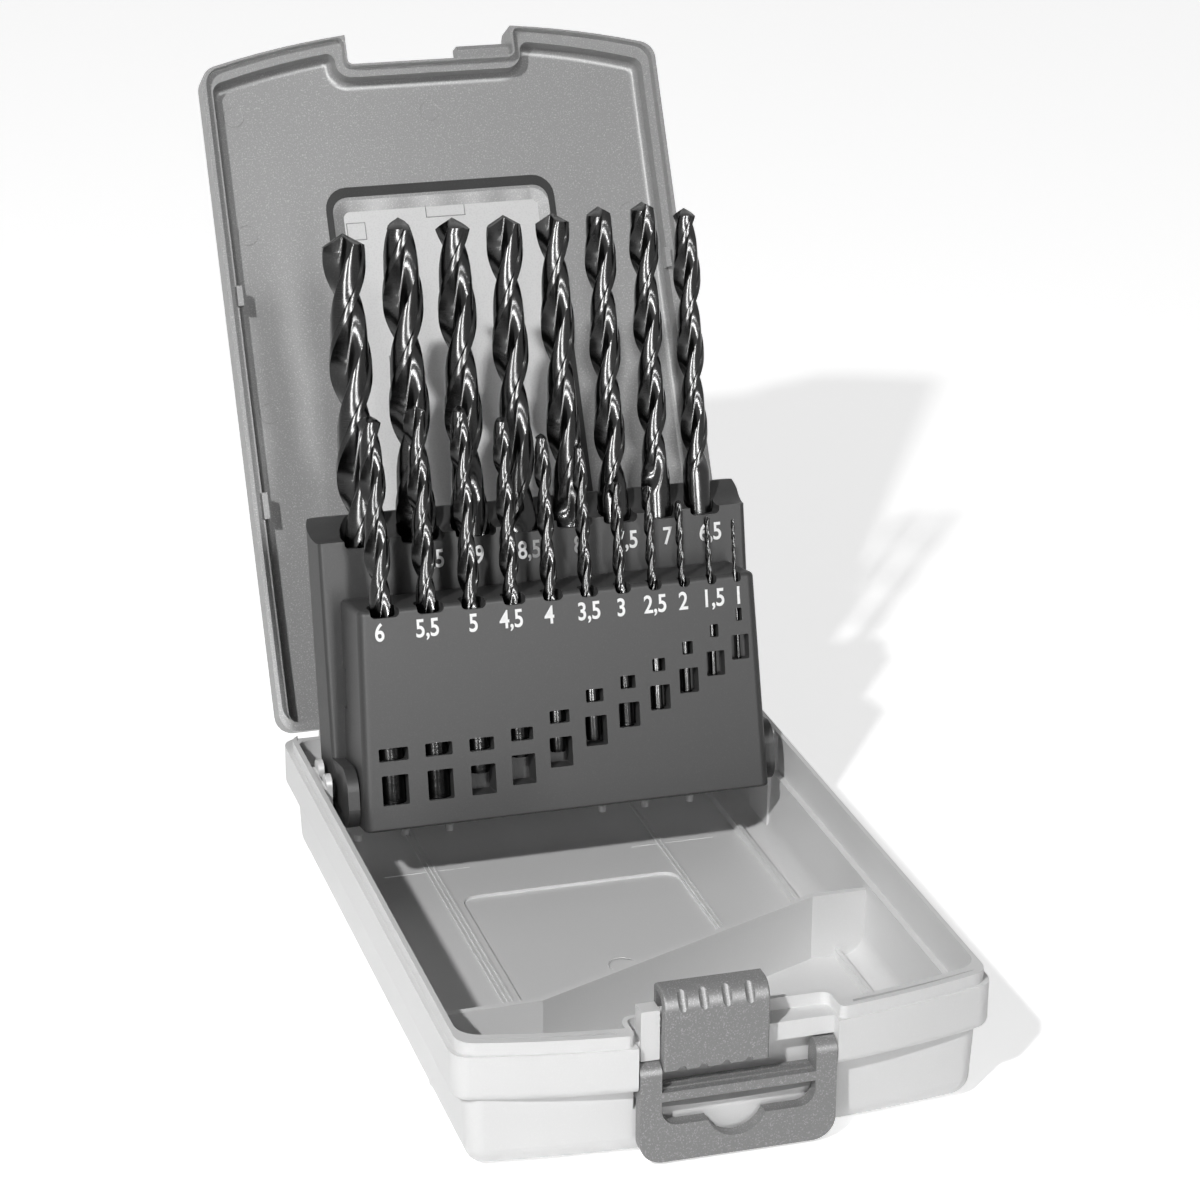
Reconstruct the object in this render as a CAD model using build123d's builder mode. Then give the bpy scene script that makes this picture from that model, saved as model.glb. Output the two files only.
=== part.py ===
"""Hinged drill bit case: tray, lid, tilting two-row bit holder, slide latch, hanger and twist drills.

Millimetres, +Z up, the latch at the front on -Y. The origin is on the underside, on the centre line.
The case stands open: the lid leans back on its stops, the holder stands up and the latch is slid
clear of the lid's hook. The lid is drawn as if shut and the holder as if upright, each on a plane
of its own that carries it to where it stands in the open case.
"""

import os
from collections import namedtuple
from math import atan, cos, degrees, pi, radians, sin, sqrt, tan

from build123d import *

os.makedirs("parts", exist_ok=True)

# ---------------------------------------------------------------- plan of the case
case_width = 117.0
rear_y = 83.5
front_tip_y = -89.0       # foremost point of the bowed front
front_radius = 217.9      # of the bow
corner_radius = 4.5
inner_corner_radius = 5.6

rail_inset = 10.5         # these four stand in from the case's outer face
hinge_inset = 22.5
bearing_inset = 4.7
trunnion_inset = 3.5
half_width = case_width / 2
front_bow = front_radius - sqrt(front_radius**2 - half_width**2)
corner_y = front_tip_y + front_bow    # where the straight sides meet the bowed front

# ---------------------------------------------------------------- latch recess in the front
recess_width = 44.0       # between the tray's upstands
recess_y = -79.8          # back wall of the recess, outer face of the upstand
recess_radius = 2.0
recess_flare = 1.4        # where the recess wall runs out into the bowed front
recess_run_out = 20.0
flare_share = 0.85        # of the straight side of the recess, at most
overrun = 1.0             # how far a cutting shape runs past what it cuts

# ---------------------------------------------------------------- tray
floor_z = 3.3
collar_z = 16.9           # underside of the collar that overhangs the body
ledge_z = 27.4            # parting line, where the lid's rim lands
rim_rise = 2.8            # upstand above the ledge
rim_thickness = 1.15
side_ledge = 1.15
front_ledge = 0.55
collar_round = 2.0
body_inset = 2.5          # the body stands in from the collar at the sides
body_front_inset = 0.3
body_rear_inset = 1.5
body_bow = 4.5
body_draft = 3.0          # degrees
body_round = 5.0
groove_width = 1.1        # behind the front upstand
tongue_thickness = 1.2
rear_wall = 2.0
upstand_rear_gap = 4.0    # the side upstands stop short of the hinge
wall_step_z = 20.7        # the side walls thicken inward below this height
lower_wall = 3.8          # from the collar's outer face to the lower inner face
lower_bow = 1.15          # bow of the lower front wall, behind the recess
core_draft = 1.6          # degrees
inner_bottom_round = 4.8

# ---------------------------------------------------------------- tray floor
wall_bite = 0.2           # how far webs and the divider run into the side walls
divider_thickness = 1.5
divider_top_z = 19.0
divider_end = half_width - lower_wall + wall_bite
divider_path = ((-divider_end, -47.3), (-30.2, -46.6), (41.8, -15.6), (divider_end, -15.8))
field_width = 53.0        # shallow recessed field in the floor
field_rear_y = 36.0
field_front_y = -42.0
field_depth = 0.7
field_radius = 4.0
line_width = 0.4          # raised lines that run from the rear wall to the divider
line_rise = 0.35
line_pitch = 1.1
left_line_x = -29.5
left_lines = 3
right_line_x = 27.7
right_lines = 2
right_line_front_y = -20.0
rail_x = half_width - rail_inset
rail_thickness = 1.1
rail_rise = 2.0
rail_front_y = -51.0
peg_radius = 1.0
peg_rise = 1.6
peg_y = 73.0
peg_columns = (19.5, 30.5, 42.3)

# ---------------------------------------------------------------- rail that carries the latch
shelf_y = -85.0           # front face of the rail
lip_height = 4.1
lip_thickness = 1.3
shelf_thickness = 1.8
pocket_y = -81.6          # back of the pocket under the rail
pocket_floor_z = 13.0
pocket_sill_z = 11.0
stop_width = 4.0
stop_inset = 1.5          # from the side of the recess
stop_left = stop_inset - recess_width / 2
stop_depth = 4.0
stop_proud = 1.0          # the stop block stands out in front of the rail
stop_top_z = 34.5

# ---------------------------------------------------------------- hinge
hinge_y = 84.0
hinge_z = 28.3
open_angle = 118.0
barrel_radius = 2.6
pin_radius = 1.2
pin_clearance = 0.05
hinge_x = half_width - hinge_inset
lid_knuckle_width = 12.0
tray_knuckle_width = 6.0
knuckle_gap = 0.2
barrel_clearance = 0.3
stop_reach = 5.0          # length of the chin that holds the open lid
stop_gap = 0.05
chin_nose = 1.4
chin_drop = 8.5

# ---------------------------------------------------------------- lid
lid_gap = 0.1             # between the lid's rim and the tray's ledge
lid_depth = 10.5
lid_draft = 1.5           # degrees
lid_round = 3.0
lid_roof = 1.6
lid_lip_clearance = 0.15
lid_step = 3.0            # height of the step that goes over the tray's upstand
lid_side_land = 3.0       # from the outer face to the inner wall
lid_front_land = 3.0
lid_notch_land = 2.6
lid_inner_round = 2.0
lid_inner_corner = 3.0
lid_inner_flare = 2.2
snap_thickness = 1.4
snap_height = 1.8
snap_inset = 2.6
snaps = ((-1, -24.5, 5.0), (-1, 27.8, 6.5), (1, -26.0, 5.0))    # side, y, length

# ---------------------------------------------------------------- label plate in the lid's roof
window_width = 56.0       # at the lid's inner face
window_front_y = -48.0
window_rear_y = 40.0
window_bevel = 2.8
window_radius = 4.5
plate_thickness = 0.8
plate_clearance = 0.1

# ---------------------------------------------------------------- hook on the lid
hook_gap = 1.7            # between the latch and the hook
hook_neck_reach = 1.9
hook_reach = 4.1
hook_bottom_z = 31.0
hook_neck_z = 33.0
hook_top_z = 36.3
hook_chamfer = 1.2

# ---------------------------------------------------------------- latch
latch_side_gap = 0.3      # between the latch and the hanger's arm
latch_width = 22.6
latch_front_y = -88.3
latch_plate = 2.0
latch_roof = 1.6
latch_chamfer = 1.0       # along the back edge of its roof
latch_edge = 0.5          # rounding down the sides of its front
latch_foot = 3.0          # thicker where it runs along the rail
latch_bottom_z = 21.5
latch_top_z = 38.8
latch_curl = 4.0
latch_sole = 1.5
latch_tooth = 1.1
latch_play = 0.3
latch_rib = 1.2
latch_rib_reach = 2.6
grip_grooves = (4.0, 8.5, 13.4, 18.3)    # from the latch's left side
grip_radius = 1.1
grip_depth = 0.75
grip_slope = 58.0         # degrees from level
scallop_radius = 0.9

# ---------------------------------------------------------------- hanger
hanger_play = 0.8         # each side, in the recess
hanger_thickness = 3.0
hanger_bottom_z = 0.6
hanger_corner = 5.0
arm_width = 4.6
arm_depth = 5.0
hanger_pivot_y = -85.8
hanger_pivot_z = 20.6
hanger_pin_radius = 1.0
hanger_pin_length = 1.9
hanger_pin_clearance = 0.05
bar_bottom_z = 14.6
bar_top_z = 16.7
bar_depth = 5.5
bar_ridge = 0.35
slot_bottom_z = 9.0
slot_corner = 3.6
dip_x = -0.4
dip_radius = 6.5
dip_bottom_z = 4.6

# ---------------------------------------------------------------- holder, upright in its own frame
pivot_y = 54.5
pivot_z = 25.8
lean = 11.63              # degrees back from upright in the open case
block_bottom = -6.4
seam = 1.3                # the two blocks meet this far in front of the pivot
seam_gap = 0.02
front_face = 19.8
front_top = 45.5
front_taper = 1.5         # the front block's sides close in by this much towards the top
rear_face = 9.9           # behind the pivot
rear_top = 59.1
rear_flare = 1.4          # the rear block widens by this much a side towards the rear face
holder_play = 1.2         # between the rear face and the tray's side walls
block_round = 2.0
rear_round = 3.0
edge_round = 1.2
scoop_rise = 4.5          # the rear block's top sweeps up to its rear edge
scoop_wall = 1.2
scoop_start = -2.0        # where the sweep begins, at the front of the rear block
cheek_gap = 0.1
cheek_thickness = 2.7
cheek_bottom = -6.4
cheek_top = 8.0
cheek_reach = 16.0
cheek_round = 5.0
side_slot_bottom = 20.0
side_slot_top = 29.6
side_slot_depth = 2.0     # in from the foot's width
side_slot_width = 3.0
trunnion_radius = 2.0
trunnion_end = half_width - trunnion_inset
trunnion_clearance = 0.05

# ---------------------------------------------------------------- bearings for the holder
bearing_inner = half_width - bearing_inset
bearing_depth = 1.4
bearing_upper_outer = bearing_inner + bearing_depth
bearing_lobe = 4.4
bearing_web_top_z = 29.5
bearing_top_z = 32.2

# ---------------------------------------------------------------- drills and their sockets
Drill = namedtuple("Drill", "size length flutes tip window")
front_drills = (
    Drill(6.0, 93, 57, 89.9, -0.4),
    Drill(5.5, 93, 57, 91.2, -0.3),
    Drill(5.0, 86, 52, 90.4, -0.3),
    Drill(4.5, 80, 47, 87.1, 1.0),
    Drill(4.0, 75, 43, 82.3, 4.1),
    Drill(3.5, 70, 39, 79.1, 8.2),
    Drill(3.0, 61, 33, 69.7, 11.7),
    Drill(2.5, 57, 30, 68.0, 15.0),
    Drill(2.0, 49, 24, 63.9, 18.3),
    Drill(1.5, 40, 18, 59.5, 21.7),
    Drill(1.0, 34, 12, 58.2, 25.0),
)
rear_drills = (
    Drill(10.0, 133, 87, 129.9, None),
    Drill(9.5, 125, 81, 132.6, None),
    Drill(9.0, 125, 81, 131.7, None),
    Drill(8.5, 117, 75, 131.4, None),
    Drill(8.0, 117, 75, 131.1, None),
    Drill(7.5, 109, 69, 131.8, None),
    Drill(7.0, 109, 69, 132.2, None),
    Drill(6.5, 101, 63, 130.0, None),
)
front_wall = 0.8          # in front of the front sockets
rear_row = -4.2           # rear bit axes, behind the pivot
front_first_inset = 7.7   # from the block's foot on the left to the first bit's axis
front_last_inset = 5.9
rear_first_inset = 11.5
rear_last_inset = 9.95
seat_gap = 0.05
front_bore_clearance = 0.3
rear_bore_clearance = 0.15
mouth_depth = 2.0
mouth_margin = 0.8
mouth_round = 1.2
lower_window_height = 7.1
small_window_height = 5.9
small_window_size = 3.0   # bits up to this size have the lower window
upper_window_height = 3.1
window_bridge = 3.3
window_corner = 0.35
window_back_margin = 0.5
helix_angle = 30.0
point_angle = 118.0
web_share = 0.34
land_half_angle = 38
twist_step = 45
chisel_share = 0.12

# ---------------------------------------------------------------- derived places
hanger_width = recess_width - 2 * hanger_play
latch_left = arm_width + latch_side_gap - hanger_width / 2
hook_left = latch_left + latch_width + hook_gap
grip_places = [latch_left + inset for inset in grip_grooves]
rear_back_width = case_width - 2 * (lower_wall + holder_play)
rear_width = rear_back_width - 2 * rear_flare                     # at the seam
front_width = rear_width - 2 * (cheek_thickness + cheek_gap)      # at its foot
front_top_width = front_width - 2 * front_taper
rim_top_z = ledge_z + rim_rise
lid_rim_z = ledge_z + lid_gap
lid_top_z = lid_rim_z + lid_depth
lid_inner_z = lid_top_z - lid_roof
lip_bottom_z = ledge_z - lip_height
front_lip = front_ledge - lid_lip_clearance
notch_y = recess_y - lid_lip_clearance - front_ledge
bevel_angle = degrees(atan(window_bevel / (lid_roof - plate_thickness)))


def turned(origin_y, origin_z, angle):
    """The drawing plane after a turn about a line along X through (origin_y, origin_z)."""
    return Plane(
        Location((0, origin_y, origin_z))
        * Location((0, 0, 0), (angle, 0, 0))
        * Location((0, -origin_y, -origin_z))
    )


lid_plane = turned(hinge_y, hinge_z, -open_angle)
lid_up = Axis(lid_plane.origin, lid_plane.z_dir)
holder_rise = (0, sin(radians(lean)), cos(radians(lean)))
holder_plane = Plane((0, pivot_y, pivot_z), x_dir=(1, 0, 0), z_dir=holder_rise)
holder_up = Axis(holder_plane.origin, holder_plane.z_dir)
holder_front = Plane(
    holder_plane.from_local_coords((0, -front_face, 0)), x_dir=(1, 0, 0), z_dir=-holder_plane.y_dir
)
holder_out = Axis(holder_plane.origin, -holder_plane.y_dir)
holder_side = Plane(holder_plane.origin, x_dir=holder_plane.y_dir, z_dir=(1, 0, 0))


def case_plan(side=0.0, front=0.0, rear=0.0, bow=front_bow, radius=corner_radius):
    """Plan of the case, stood in from its outer line by the given amounts."""
    half = half_width - side
    front_y = corner_y + front
    back_y = rear_y - rear
    with BuildSketch() as plan:
        with BuildLine():
            Polyline((-half, front_y), (-half, back_y), (half, back_y), (half, front_y))
            ThreePointArc((half, front_y), (0, front_y - bow), (-half, front_y))
        make_face()
        fillet(plan.vertices(), radius)
    return plan.sketch_local


def recess_plan(grow=0.0):
    """Plan of the latch recess, grown outward all round."""
    with BuildSketch() as plan:
        with Locations((0, recess_y + grow)):
            Rectangle(recess_width + 2 * grow, recess_run_out, align=(Align.CENTER, Align.MAX))
        fillet(plan.vertices().group_by(Axis.Y)[-1], recess_radius + grow)
    return plan.sketch_local


def rim_plan(grow, flare=recess_flare, **insets):
    """Plan of the case with the latch recess taken out of its front."""
    with BuildSketch() as plan:
        add(case_plan(**insets))
        add(recess_plan(grow), mode=Mode.SUBTRACT)
        reach = recess_width / 2 + grow + overrun
        mouth_y = recess_y - 2 * recess_radius
        edge = plan.vertices().filter_by_position(Axis.X, -reach, reach)
        mouth = edge.filter_by_position(Axis.Y, mouth_y - recess_run_out, mouth_y)
        straight = recess_y - recess_radius - edge.sort_by(Axis.Y)[0].Y
        fillet(mouth, min(flare, flare_share * straight))
    return plan.sketch_local


def row_places(drills, first_x, last_x):
    """Where each bit of a row stands along X, with the same clear space between neighbours."""
    reaches = [(left.size + right.size) / 2 for left, right in zip(drills, drills[1:])]
    gap = (last_x - first_x - sum(reaches)) / len(reaches)
    places = [first_x]
    for reach in reaches:
        places.append(places[-1] + reach + gap)
    return places


front_places = row_places(
    front_drills, front_first_inset - front_width / 2, front_width / 2 - front_last_inset
)
rear_places = row_places(rear_drills, rear_first_inset - rear_width / 2, rear_width / 2 - rear_last_inset)
front_rows = [front_face - front_wall - front_bore_clearance - drill.size / 2 for drill in front_drills]
rear_rows = [rear_row] * len(rear_drills)


def chin_outline():
    """Side view of the chin under a tray knuckle; its upper face stops the lid's rear wall."""
    turn = radians(open_angle)
    along = (sin(turn), cos(turn))          # down the open lid's rear wall, away from the hinge
    out = (-cos(turn), sin(turn))
    rest = hinge_y - rear_y - stop_gap
    top = (hinge_y + rest * out[0], hinge_z + rest * out[1])
    tip = (top[0] + stop_reach * along[0], top[1] + stop_reach * along[1])
    wall_y = rear_y - rear_wall / 2
    nose = (tip[0], tip[1] - chin_nose)
    return (top, tip, nose, (wall_y, hinge_z - chin_drop), (wall_y, hinge_z - barrel_radius))


def lower_window_width(size):
    """The tall windows grow little with the bit."""
    return 3.9 + 0.4 * size


def upper_window_width(size):
    """The low windows are about as wide as the bit's bore."""
    return 0.4 + 1.1 * size


def hand_in(part, name):
    """Names one finished piece and writes it."""
    part.label = name
    export_step(part, f"parts/{name}.step")


# ================================================================ tray
with BuildPart() as tray_core:
    # the space inside the collar
    with BuildSketch(Plane.XY.offset(wall_step_z)):
        add(
            rim_plan(
                rim_thickness,
                side=side_ledge + rim_thickness,
                front=front_ledge + rim_thickness + groove_width + tongue_thickness,
                rear=rear_wall,
                radius=inner_corner_radius,
            )
        )
    extrude(amount=rim_top_z - wall_step_z)
    # the space inside the body, with drafted walls and a rounded bottom
    inner_front_y = recess_y + rim_thickness + lower_bow
    with BuildSketch(Plane.XY.offset(wall_step_z)):
        add(
            case_plan(
                side=lower_wall,
                front=inner_front_y - corner_y,
                rear=rear_wall,
                bow=lower_bow,
                radius=inner_corner_radius,
            )
        )
    extrude(amount=floor_z - wall_step_z, taper=core_draft)
    fillet(tray_core.edges().group_by(Axis.Z)[0], inner_bottom_round)

with BuildPart() as base_tray:
    with BuildSketch(Plane.XY.offset(collar_z)):
        add(case_plan())
    extrude(amount=ledge_z - collar_z)
    fillet(base_tray.edges().group_by(Axis.Z)[0], collar_round)
    with BuildSketch(Plane.XY.offset(ledge_z)):
        add(rim_plan(0.0, side=side_ledge, front=front_ledge, rear=upstand_rear_gap))
    extrude(amount=rim_rise)
    with BuildSketch(Plane.XY.offset(collar_z + collar_round)):
        add(case_plan(side=body_inset, front=body_front_inset, rear=body_rear_inset, bow=body_bow))
    extrude(amount=-collar_z - collar_round, taper=body_draft)
    fillet(base_tray.edges().group_by(Axis.Z)[0], body_round)
    # latch recess: in front of the rail, and the pocket under it
    with BuildSketch():
        with Locations((0, shelf_y)):
            Rectangle(recess_width - 2 * front_ledge, recess_run_out, align=(Align.CENTER, Align.MAX))
    extrude(amount=ledge_z, mode=Mode.SUBTRACT)
    with BuildSketch(Plane.YZ):
        with BuildLine():
            Polyline(
                (shelf_y - recess_run_out, lip_bottom_z),
                (shelf_y + lip_thickness, lip_bottom_z),
                (shelf_y + lip_thickness, ledge_z - shelf_thickness),
                (pocket_y, ledge_z - shelf_thickness),
                (pocket_y, pocket_floor_z),
                (shelf_y, pocket_sill_z),
                (shelf_y - recess_run_out, pocket_sill_z),
                close=True,
            )
        make_face()
    extrude(amount=recess_width / 2 - front_ledge, both=True, mode=Mode.SUBTRACT)
    add(tray_core.part, mode=Mode.SUBTRACT)
    # groove behind the front upstand, stopping short of the sides and of the recess
    with BuildSketch(Plane.XY.offset(rim_top_z)):
        groove_front = front_ledge + rim_thickness
        groove_side = side_ledge + 2 * rim_thickness
        add(case_plan(side=groove_side, front=groove_front, radius=recess_flare))
        add(
            case_plan(front=groove_front + groove_width, rear=-overrun, radius=recess_flare),
            mode=Mode.SUBTRACT,
        )
        add(recess_plan(2 * rim_thickness + groove_width), mode=Mode.SUBTRACT)
    extrude(amount=-rim_rise, mode=Mode.SUBTRACT)
    # the block that stops the latch in its open place
    with BuildSketch(Plane.XY.offset(lip_bottom_z)):
        with Locations((stop_left, shelf_y - stop_proud)):
            Rectangle(stop_width, stop_depth, align=(Align.MIN, Align.MIN))
    extrude(amount=stop_top_z - lip_bottom_z)
    # floor: recessed field, raised lines, rail, pegs and divider
    with BuildSketch(Plane.XY.offset(floor_z)):
        with Locations((0, (field_rear_y + field_front_y) / 2)):
            RectangleRounded(field_width, field_rear_y - field_front_y, field_radius)
    extrude(amount=-field_depth, mode=Mode.SUBTRACT)
    line_rear_y = rear_y - rear_wall - inner_bottom_round
    line_front_y = divider_path[1][1]
    with BuildSketch(Plane.XY.offset(floor_z)):
        with Locations((left_line_x, line_rear_y)):
            with GridLocations(line_pitch, 0, left_lines, 1):
                Rectangle(line_width, line_rear_y - line_front_y, align=(Align.CENTER, Align.MAX))
        with Locations((right_line_x, line_rear_y)):
            with GridLocations(line_pitch, 0, right_lines, 1):
                Rectangle(line_width, line_rear_y - right_line_front_y, align=(Align.CENTER, Align.MAX))
    extrude(amount=line_rise)
    with BuildSketch(Plane.XY.offset(floor_z)):
        with Locations((rail_x, line_rear_y)):
            Rectangle(rail_thickness, line_rear_y - rail_front_y, align=(Align.CENTER, Align.MAX))
    extrude(amount=rail_rise)
    with BuildSketch(Plane.XY.offset(floor_z)):
        with Locations(*[(side * x, peg_y) for x in peg_columns for side in (-1, 1)]):
            Circle(peg_radius)
    extrude(amount=peg_rise)
    with BuildSketch(Plane.XY.offset(floor_z - field_depth)):
        with BuildLine():
            Polyline(*divider_path)
        trace(line_width=divider_thickness)
    extrude(amount=divider_top_z - floor_z + field_depth)
    # bearings: two lobes each side, with the trunnion's open slot between them
    slot_half = trunnion_radius + trunnion_clearance
    for side in (-1, 1):
        bearing_plane = Plane.YZ.offset(side * bearing_inner)
        for bottom, outer in (
            (floor_z, half_width - lower_wall + wall_bite),
            (wall_step_z, half_width - side_ledge - rim_thickness + wall_bite),
        ):
            with BuildSketch(bearing_plane):
                with Locations((pivot_y, bottom)):
                    Rectangle(
                        2 * (slot_half + bearing_lobe),
                        bearing_web_top_z - bottom,
                        align=(Align.CENTER, Align.MIN),
                    )
            extrude(amount=side * (outer - bearing_inner))
        with BuildSketch(bearing_plane):
            for lobe in (-1, 1):
                lobe_y = pivot_y + lobe * (slot_half + bearing_lobe / 2)
                with Locations((lobe_y, bearing_top_z - bearing_lobe)):
                    SlotOverall(2 * bearing_lobe, bearing_lobe, rotation=90)
        extrude(amount=side * (bearing_upper_outer - bearing_inner))
        with BuildSketch(bearing_plane):
            with Locations((pivot_y, pivot_z)):
                Circle(slot_half)
                Rectangle(2 * slot_half, bearing_top_z, align=(Align.CENTER, Align.MIN))
        extrude(amount=side * (bearing_upper_outer + trunnion_clearance - bearing_inner), mode=Mode.SUBTRACT)
    # bores for the hanger's pins
    with BuildSketch(Plane.YZ):
        with Locations((hanger_pivot_y, hanger_pivot_z)):
            Circle(hanger_pin_radius + hanger_pin_clearance)
    extrude(
        amount=hanger_width / 2 + hanger_pin_length + hanger_pin_clearance, both=True, mode=Mode.SUBTRACT
    )
    # hinge: room for the lid's knuckles, then the tray's own knuckles with the chins that stop the lid
    for side in (-1, 1):
        with BuildSketch(Plane.YZ.offset(side * hinge_x)):
            with Locations((hinge_y, hinge_z)):
                Circle(barrel_radius + barrel_clearance)
        extrude(amount=lid_knuckle_width / 2 + knuckle_gap, both=True, mode=Mode.SUBTRACT)
        for end in (-1, 1):
            knuckle_x = side * hinge_x + end * (lid_knuckle_width / 2 + knuckle_gap)
            with BuildSketch(Plane.YZ.offset(knuckle_x)):
                with Locations((hinge_y, hinge_z)):
                    Circle(barrel_radius)
                Polygon(*chin_outline(), align=None)
            extrude(amount=end * tray_knuckle_width)
    with BuildSketch(Plane.YZ):
        with Locations((hinge_y, hinge_z)):
            Circle(pin_radius + pin_clearance)
    extrude(amount=half_width, both=True, mode=Mode.SUBTRACT)

hand_in(base_tray.part, "base_tray")

# ================================================================ lid
with BuildPart() as lid_core:
    # the step that goes over the tray's upstand
    with BuildSketch(lid_plane.offset(lid_rim_z)):
        add(
            rim_plan(
                -lid_lip_clearance,
                flare=recess_flare + lid_lip_clearance,
                side=side_ledge - lid_lip_clearance,
                front=front_lip,
                rear=rear_wall,
            )
        )
    extrude(amount=lid_step)
    # the hollow above it
    with BuildSketch(lid_plane.offset(lid_rim_z)):
        add(
            rim_plan(
                lid_notch_land - front_ledge - lid_lip_clearance,
                side=lid_side_land,
                front=lid_front_land,
                rear=rear_wall,
                radius=lid_inner_corner,
                flare=lid_inner_flare,
            )
        )
    extrude(amount=lid_inner_z - lid_rim_z)
    fillet(lid_core.edges().group_by(lid_up)[-1], lid_inner_round)

with BuildPart() as lid:
    with BuildSketch(lid_plane.offset(lid_rim_z)):
        add(case_plan())
    extrude(amount=lid_depth, taper=lid_draft)
    fillet(lid.edges().group_by(lid_up)[-1], lid_round)
    with BuildSketch(lid_plane.offset(lid_rim_z)):
        add(recess_plan(notch_y - recess_y))
    extrude(amount=lid_depth, mode=Mode.SUBTRACT)
    add(lid_core.part, mode=Mode.SUBTRACT)
    # hinge: room for the tray's knuckles, then the lid's own knuckle
    for side in (-1, 1):
        knuckle_middle = lid_plane.from_local_coords((side * hinge_x, hinge_y, hinge_z))
        knuckle_plane = Plane(knuckle_middle, x_dir=lid_plane.y_dir, z_dir=(1, 0, 0))
        knuckle_end = lid_knuckle_width / 2
        for end in (-1, 1):
            with BuildSketch(knuckle_plane.offset(end * knuckle_end)):
                Circle(barrel_radius + barrel_clearance)
            extrude(amount=end * (tray_knuckle_width + 2 * knuckle_gap), mode=Mode.SUBTRACT)
        with BuildSketch(knuckle_plane):
            Circle(barrel_radius)
        extrude(amount=knuckle_end, both=True)
        with BuildSketch(knuckle_plane):
            Circle(pin_radius + pin_clearance)
        extrude(amount=knuckle_end, both=True, mode=Mode.SUBTRACT)
    # window for the label plate: a bevelled frame inside, the plate's seat outside
    window_middle = (window_front_y + window_rear_y) / 2
    window_length = window_rear_y - window_front_y
    with BuildSketch(lid_plane.offset(lid_inner_z)):
        with Locations((0, window_middle)):
            RectangleRounded(window_width, window_length, window_radius)
    bevel_height = lid_roof - plate_thickness
    extrude(amount=bevel_height, taper=bevel_angle, mode=Mode.SUBTRACT)
    with BuildSketch(lid_plane.offset(lid_top_z)):
        with Locations((0, window_middle)):
            RectangleRounded(window_width, window_length, window_radius)
    extrude(amount=-plate_thickness, mode=Mode.SUBTRACT)
    # hook that the latch closes over
    hook_plane = Plane(lid_plane.origin, x_dir=lid_plane.y_dir, z_dir=(1, 0, 0)).offset(hook_left)
    with BuildSketch(hook_plane):
        with BuildLine():
            Polyline(
                (notch_y + front_lip, hook_bottom_z),
                (notch_y - hook_reach + hook_chamfer, hook_bottom_z),
                (notch_y - hook_reach, hook_bottom_z + hook_chamfer),
                (notch_y - hook_reach, hook_top_z),
                (notch_y - hook_neck_reach, hook_top_z),
                (notch_y - hook_neck_reach, hook_neck_z),
                (notch_y + front_lip, hook_neck_z),
                close=True,
            )
        make_face()
    extrude(amount=recess_width / 2 - hook_left)
    # snaps inside the side rims
    snap_side = {-1: Align.MIN, 1: Align.MAX}
    for side, snap_y, snap_length in snaps:
        with BuildSketch(lid_plane.offset(lid_rim_z + lid_step - snap_height)):
            with Locations((side * (half_width - snap_inset), snap_y)):
                Rectangle(snap_thickness, snap_length, align=(snap_side[side], Align.CENTER))
        extrude(amount=snap_height + overrun)
hand_in(lid.part, "lid")

with BuildPart() as lid_label_plate:
    with BuildSketch(lid_plane.offset(lid_top_z)):
        with Locations((0, window_middle)):
            RectangleRounded(
                window_width - 2 * plate_clearance, window_length - 2 * plate_clearance, window_radius
            )
    extrude(amount=-plate_thickness)
hand_in(lid_label_plate.part, "lid_label_plate")

for side, name in ((-1, "left"), (1, "right")):
    with BuildPart() as hinge_pin:
        with BuildSketch(Plane.YZ.offset(side * hinge_x)):
            with Locations((hinge_y, hinge_z)):
                Circle(pin_radius)
        extrude(amount=lid_knuckle_width / 2 + knuckle_gap + tray_knuckle_width, both=True)
    hand_in(hinge_pin.part, f"hinge_pin_{name}")

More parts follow.
